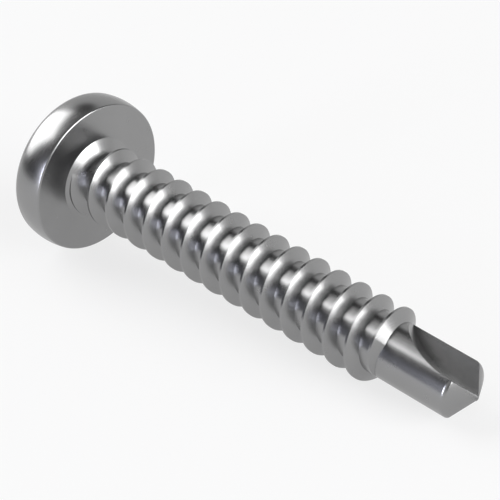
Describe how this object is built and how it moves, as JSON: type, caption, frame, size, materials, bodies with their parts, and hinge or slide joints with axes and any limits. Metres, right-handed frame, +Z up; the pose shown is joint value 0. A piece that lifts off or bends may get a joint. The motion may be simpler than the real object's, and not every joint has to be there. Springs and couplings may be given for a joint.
{
  "type": "self drilling screw",
  "caption": "Self drilling screw with a pan head, cross recess, coarse rolled thread and a milled drill point, for fastening sheet steel.",
  "frame": {"origin": "middle of the bounding box at table height, the screw lying on the rim of its head and on its last thread crest", "axes": "+Z up; +X from the head towards the drill point, along the table; +Y across the screw"},
  "size_m": [0.0336, 0.0098, 0.0097],
  "materials": {
    "zinc_plated_steel": "bright smooth plating"
  },
  "bodies": {
    "root": {"drilling_screw": "zinc_plated_steel"}
  },
  "joints": []
}
